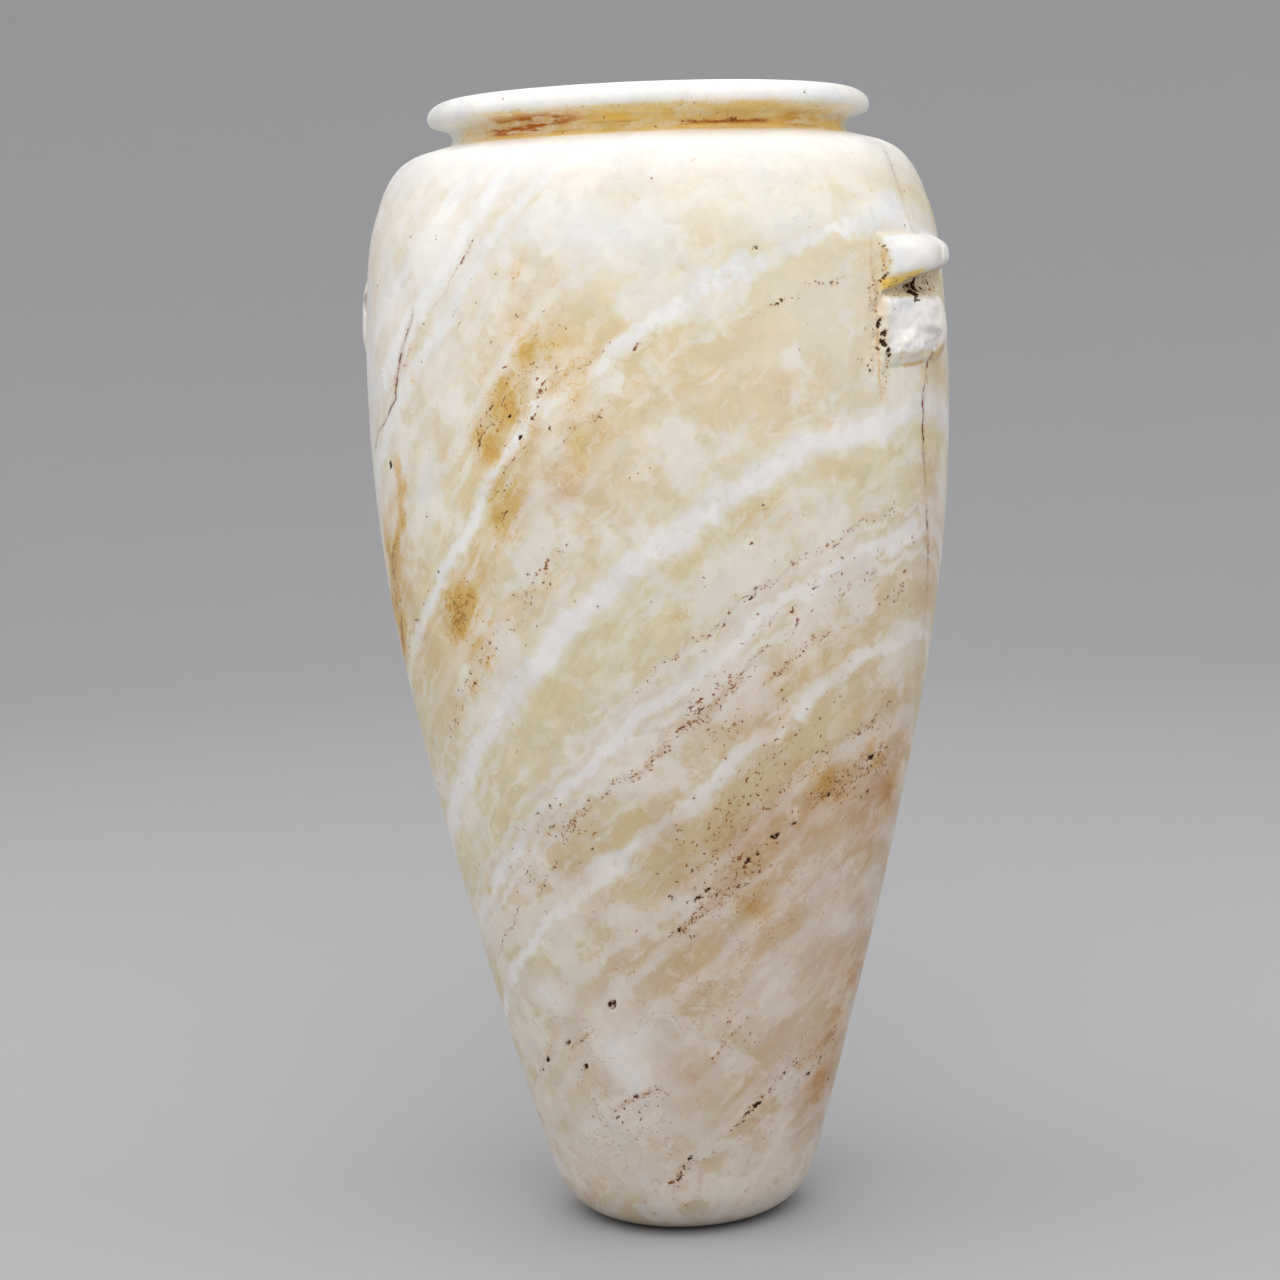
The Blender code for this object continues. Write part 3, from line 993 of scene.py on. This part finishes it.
def stone_fields():
    """The layers, noises and crystals that the stone's look is made from."""
    at = SimpleNamespace()
    at.place = node("TexCoord", {}).outputs["Object"]
    at.height = over(node("SeparateXYZ", {0: at.place}).outputs["Z"], MM)

    # the layer that a point lies in, with ragged edges
    ripple = noise(at.place, RIPPLE_SIZE, 4.0, 0.6)
    ripple_red, ripple_green, at.dashes = parts(ripple)
    at.ragged = less(ripple_red, 0.5)
    at.wander = maths("ABSOLUTE", less(ripple_green, 0.5))
    straight = over(towards(at.place, LAYERS_ACROSS), MM)
    at.layer = scaled_plus(at.ragged, SWAY, less(straight, mark("swing")))
    at.coarse = span(at.layer, *COARSE_BELOW)

    # places with the layers laid flat, so that noise can be drawn out along them
    to_face = towards(at.place, (cos(FACE), sin(FACE), 0))
    to_right = towards(at.place, (-sin(FACE), cos(FACE), 0))
    at.flat = node("CombineXYZ", {0: times(at.layer, MM), 1: to_right, 2: to_face}).outputs[0]
    drawn_out = vector("MULTIPLY", at.flat, (1.0, 0.3, 0.3))
    at.milk_pale, at.milk_honey, at.milk_fine = parts(noise(drawn_out, MILK_SIZE, 4.0, 0.62))
    cloud, at.haze, at.veil = parts(noise(at.place, CLOUD_SIZE, 5.0, 0.6))
    at.fine = noise(at.place, GRAIN_SIZE, 3.0, 0.55)

    # crystals, and band edges that step round them
    warped = shifted(at.place, ripple, 0.012)
    at.large_tone, at.large_hue, at.large_pick = parts(cells(warped, LARGE_CRYSTAL, 0.25)[1])
    at.small_tone, at.small_hue, at.small_pick = parts(cells(warped, SMALL_CRYSTAL)[1])
    blocky = less(scaled_plus(at.small_tone, 0.5, at.large_tone), 0.75)
    at.lobed = scaled_plus(blocky, 3.4, scaled_plus(less(at.milk_fine, 0.5), 4.0, at.layer))
    at.cloud = scaled_plus(blocky, 0.05, cloud)
    return at


def ground_colour(at):
    """The stone between its white bands: a colour by layer, darker low down partly as painted shade, with
    honey, olive and pink crystals.
    """
    stops = [(layer, paint(*rgb)) for layer, *rgb in ZONES]
    colour = ramp(at.layer, ZONES[0][0], ZONES[-1][0], stops)
    for field, low, high, most, tint in (
        (at.haze, 0.48, 0.62, 0.14, PINK),
        (at.large_pick, 0.35, 0.8, 0.3, OLIVE),
        (at.large_hue, 0.62, 0.9, 0.18, HONEY),
        (at.small_pick, 0.5, 0.86, 0.22, OLIVE),
        (at.milk_honey, 0.5, 0.66, 0.36, HONEY),
    ):
        colour = mix(span(field, low, high, 0, most), colour, tint)
    return mix(times(at.coarse, span(at.large_hue, 0.42, 0.26, 0, 0.6)), colour, CREAM)


def whitened(at, colour):
    """The white bands, milky clouds, pale patches (partly painted light) and chalky crust, painted light that
    whitens the shoulder, and the browner tint of some parts, which is partly painted shade.
    """
    bands = [bands_between(at.lobed, low, high) for low, high in zip(BAND_GROUPS, BAND_GROUPS[1:])]
    whiteness = largest(
        span(at.cloud, 0.47, 0.6, 0, 0.65),
        span(at.milk_pale, 0.52, 0.66, 0, 0.55),
        span(at.small_tone, 0.7, 0.92, 0, 0.28),
        times(at.coarse, span(at.cloud, 0.5, 0.57, 0, 0.62)),
        times(largest(*bands), span(at.haze, 0.36, 0.5, 0.65, 1)),
        # painted light from above: whiter with height alone, towards the shoulder
        span(at.height, 350, 384, 0, 0.9),
        # pale patches: whiter stone, and on the left side partly painted light
        times(mark("pale"), span(at.veil, 0.36, 0.5, 0.8, 1.1)),
    )
    whites = mix(span(at.haze, 0.4, 0.55), BLUE_WHITE, WHITE)
    whites = mix(span(at.layer, 130, 290, 0.5, 0), whites, PINK_WHITE)
    colour = mix(mark("crust"), mix(whiteness, colour, whites), CHALK)
    tone = plus(span(at.large_tone, 0, 1, 0.965, 1.01), span(at.small_hue, 0, 1, -0.02, 0.02))
    colour = node("HueSaturation", {"Value": tone, "Color": colour}).outputs[0]
    # browner patches: browner stone, and on the right side partly painted shade
    return mix(times(mark("tan_and_shade"), span(at.milk_honey, 0.38, 0.6, 0.55, 1.3)), colour, TAN_AND_SHADE, "MULTIPLY")


def stained(at, colour):
    """Amber and rust, the neck's stain, a net of veins near the foot, and painted shade round the broken lug;
    and how strong the amber is.
    """
    depth = plus(span(at.veil, 0.34, 0.58, 0.3, 1), span(at.wander, 0.0, 0.022, 0.6, 0))
    amber = times(times(mark("amber"), depth), span(at.milk_fine, 0.38, 0.6, 0.55, 1.3))
    amber = largest(amber, times(span(at.wander, 0.0, 0.008, 0.55, 0), span(at.veil, 0.54, 0.62)))
    colour = mix(span(amber, 0.05, 0.9), colour, AMBER, "MULTIPLY")
    colour = mix(span(amber, 1.0, 1.9, 0, 0.75), colour, RUST)
    streak = noise(vector("MULTIPLY", at.place, (1.0, 1.0, 5.0)), STREAK_SIZE, 4.0, output="Fac")
    colour = mix(times(mark("ochre"), span(streak, 0.36, 0.56, 0.7, 1.05)), colour, OCHRE)
    colour = mix(times(mark("brown"), span(streak, 0.4, 0.52, 0.15, 1.25)), colour, BROWN)
    net = times(span(at.wander, 0.0, 0.007, 0.6, 0), span(at.layer, 118, 84))
    return mix(times(net, span(at.veil, 0.42, 0.52)), colour, VEIN), amber


def speckled(at, colour, amber):
    """Dark specks along the seams, in the moss and as painted shade in the broken lug's hollows; and where
    the specks are, and their own colour.
    """
    found = [mark("dirt_and_shade"), span(amber, 0.3, 1.0, 0.004, 0.1)]
    clumps = span(at.milk_pale, 0.4, 0.58, 0.12, 1.4)
    for name in ("first", "second"):
        away = maths("ABSOLUTE", scaled_plus(at.ragged, SWAY, mark(name + "_away")))
        near = less(1.15, over(away, mark(name + "_half")), clamp=True)
        found.append(times(times(times(near, clumps), mark(name + "_strength")), 1.3))
    specks = largest(*found)
    colour = mix(times(specks, 0.16), colour, UMBER)
    streaky = vector("MULTIPLY", at.flat, (1.0, 0.55, 0.55))
    dots, halos = [], []
    for cloth, size, reach, share in ((streaky, 0.0019, 0.38, 0.45), (at.place, 0.0013, 0.43, 0.7)):
        distance, pick = cells(shifted(cloth, at.fine, 0.0034), size)
        chance, breadth, hue = parts(pick)
        there = maths("LESS_THAN", chance, times(specks, share))
        distance = scaled_plus(breadth, 0.26, distance)
        dots.append(times(span(distance, reach * 0.7, reach * 1.1, 1, 0), there))
        halos.append(times(span(distance, reach * 0.8, reach * 1.7, 0.5, 0), there))
    dots = largest(*dots)
    colour = mix(largest(*halos), colour, UMBER)
    grime = mix(span(plus(hue, at.haze), 0.6, 1.2), SOOT, RUSSET)
    return mix(times(dots, 0.92), colour, grime), dots, grime


def pitted_and_cracked(at, colour, grime):
    """Dark pits with rusty edges, and cracks that are dark in dashes with a rusty edge along them."""
    _, fray, wobble = parts(at.fine)
    pit = times(span(fray, 0.36, 0.58, 0.25, 1.35), mark("pit"))
    colour = mix(span(pit, 0.02, 0.35, 0, 0.4), colour, RUST)
    colour = mix(span(pit, 0.35, 0.62), colour, SOOT)
    crack = maths("ABSOLUTE", scaled_plus(less(wobble, 0.5), 2.2, mark("crack_off")))
    plain = mark("crack_plain")
    colour = mix(times(plain, span(crack, 0.2, 3.0, 0.28, 0)), colour, RUST)
    dash = times(plain, span(at.dashes, 0.46, 0.54, 0.08, 1.2))
    return mix(times(dash, span(crack, 0.15, 0.8, 0.95, 0)), colour, grime)


def paint_stone():
    at = stone_fields()
    colour, amber = stained(at, whitened(at, ground_colour(at)))
    colour, dots, grime = speckled(at, colour, amber)
    colour = pitted_and_cracked(at, colour, grime)
    gloss = plus(span(at.cloud, 0.35, 0.65, 0.28, 0.42), times(mark("crust"), 0.3))
    gloss = plus(gloss, times(dots, 0.25), clamp=True)
    relief = noise(at.place, RELIEF_SIZE, 2.0, output="Fac")
    bump = node("Bump", {"Strength": 0.2, "Distance": 0.0005, "Height": relief}).outputs[0]
    shader = tree.nodes["Principled BSDF"]
    for name, value in (("Base Color", colour), ("Roughness", gloss), ("Normal", bump)):
        tree.links.new(value, shader.inputs[name])
    shader.inputs["Specular IOR Level"].default_value = 0.25


paint_stone()

jar.data.materials.clear()
jar.data.materials.append(stone)
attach(jar, "root")
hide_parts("jar")

# ---- stage, light and camera
FLOOR_RADIUS = 1.5
SWEEP_RADIUS = 1.2
STAGE_HEIGHT = 2.4
STAGE_SIDES = 96
STAGE_COLOUR = (0.42, 0.42, 0.43, 1)
WORLD_STRENGTH = 1.15

# Soft square lights: name, width, power, bearing from the face, distance, height, height on the axis it faces
LIGHTS = (
    ("key", 1.1, 6.0, 2, 0.95, 1.15, 0.3),
    ("front", 0.9, 1.9, 0, 1.1, 0.5, 0.35),
    ("left", 1.0, 4.6, -85, 1.2, 0.9, 0.25),
    ("right", 1.0, 3.2, 80, 1.2, 0.9, 0.25),
    ("back", 1.0, 3.5, 180, 1.3, 1.4, 0.2),
)

CAMERA_DISTANCE = 1.0244
CAMERA_HEIGHT = 0.3265
CAMERA_LEFT = radians(0.536)
CAMERA_DOWN = radians(6.6)
CAMERA_ROLL = radians(2.086)
LENS = 80.82
SENSOR_WIDTH = 36


def make_stage():
    """A plain pale floor that sweeps up into a wall all round, so no edge shows behind the jar."""
    sweep = arc(FLOOR_RADIUS, SWEEP_RADIUS, SWEEP_RADIUS, SWEEP_RADIUS, 0, -90, 32)
    mesh, rings = turned([(FLOOR_RADIUS + SWEEP_RADIUS, STAGE_HEIGHT), *sweep], STAGE_SIDES)
    mesh.faces.new(rings[-1])
    floor = placed("floor", mesh)
    floor.data.shade_smooth()
    pale = bpy.data.materials.new("pale_floor")
    pale.use_nodes = True
    tree = pale.node_tree
    matt = tree.nodes.new("ShaderNodeBsdfDiffuse")
    matt.inputs["Color"].default_value = STAGE_COLOUR
    tree.links.new(matt.outputs[0], tree.nodes["Material Output"].inputs["Surface"])
    tree.nodes.remove(tree.nodes["Principled BSDF"])
    floor.data.materials.append(pale)


def area_light(name, width, power, bearing, distance, height, target):
    data = bpy.data.lights.new(name, "AREA")
    data.shape = "SQUARE"
    data.size = width
    data.energy = power
    light = placed(name, data)
    angle = FACE + radians(bearing)
    light.location = (distance * cos(angle), distance * sin(angle), height)
    light.rotation_euler = (Vector((0, 0, target)) - light.location).to_track_quat("-Z", "Y").to_euler()


def make_camera():
    """A camera in front of the jar's face, turned a little left and down, and rolled clockwise."""
    data = bpy.data.cameras.new("camera")
    data.lens = LENS
    data.sensor_width = SENSOR_WIDTH
    camera = placed("camera", data)
    turn = Matrix.Rotation(FACE + pi / 2 + CAMERA_LEFT, 4, "Z")
    turn = turn @ Matrix.Rotation(pi / 2 - CAMERA_DOWN, 4, "X") @ Matrix.Rotation(-CAMERA_ROLL, 4, "Z")
    place = Vector((CAMERA_DISTANCE * cos(FACE), CAMERA_DISTANCE * sin(FACE), CAMERA_HEIGHT))
    camera.matrix_world = Matrix.Translation(place) @ turn
    bpy.context.scene.camera = camera


def make_world():
    world = bpy.data.worlds.new("soft_room")
    bpy.context.scene.world = world
    world.use_nodes = True
    background = world.node_tree.nodes["Background"]
    background.inputs["Color"].default_value = (1, 1, 1, 1)
    background.inputs["Strength"].default_value = WORLD_STRENGTH


make_stage()
for light in LIGHTS:
    area_light(*light)
make_world()
make_camera()

# Plain display colours, and only two bounces of diffuse light, to keep the render short
bpy.context.scene.view_settings.view_transform = "Standard"
bpy.context.scene.cycles.diffuse_bounces = 2
